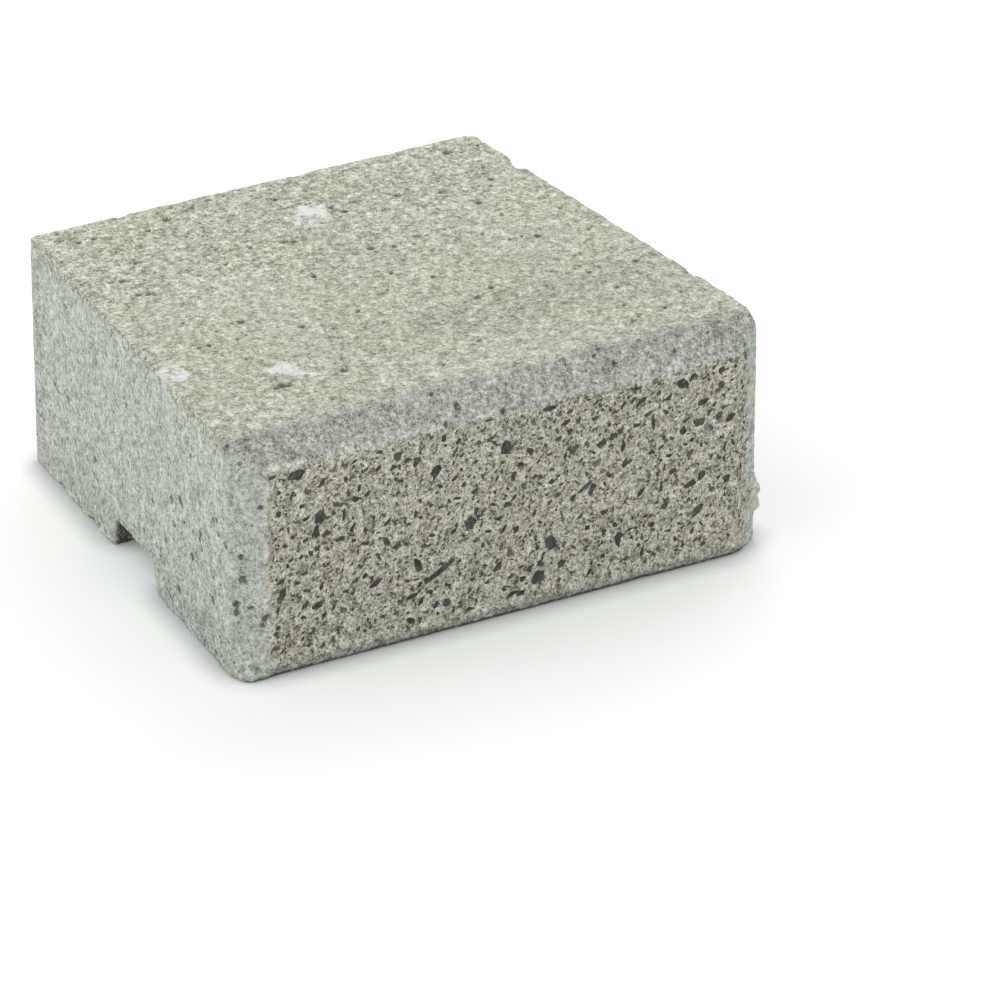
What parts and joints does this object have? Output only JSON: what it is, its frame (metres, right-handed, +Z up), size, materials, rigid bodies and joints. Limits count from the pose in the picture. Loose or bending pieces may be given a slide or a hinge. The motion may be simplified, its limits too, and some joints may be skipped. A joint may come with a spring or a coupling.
{
  "type": "concrete wall cap",
  "caption": "Solid concrete wall cap, tapered in plan, with a bevelled exposed-aggregate face and a seating groove across its bed.",
  "frame": {"origin": "on the floor under the middle of the block's box", "axes": "+X along the wall, the exposed face looks towards -Y, +Z up"},
  "size_m": [0.234, 0.21, 0.1],
  "materials": {
    "concrete": "dry-cast grey concrete with small pits; the exposed face shows dark aggregate in a tan mortar"
  },
  "bodies": {
    "root": {"wall_cap": "concrete"}
  },
  "joints": []
}
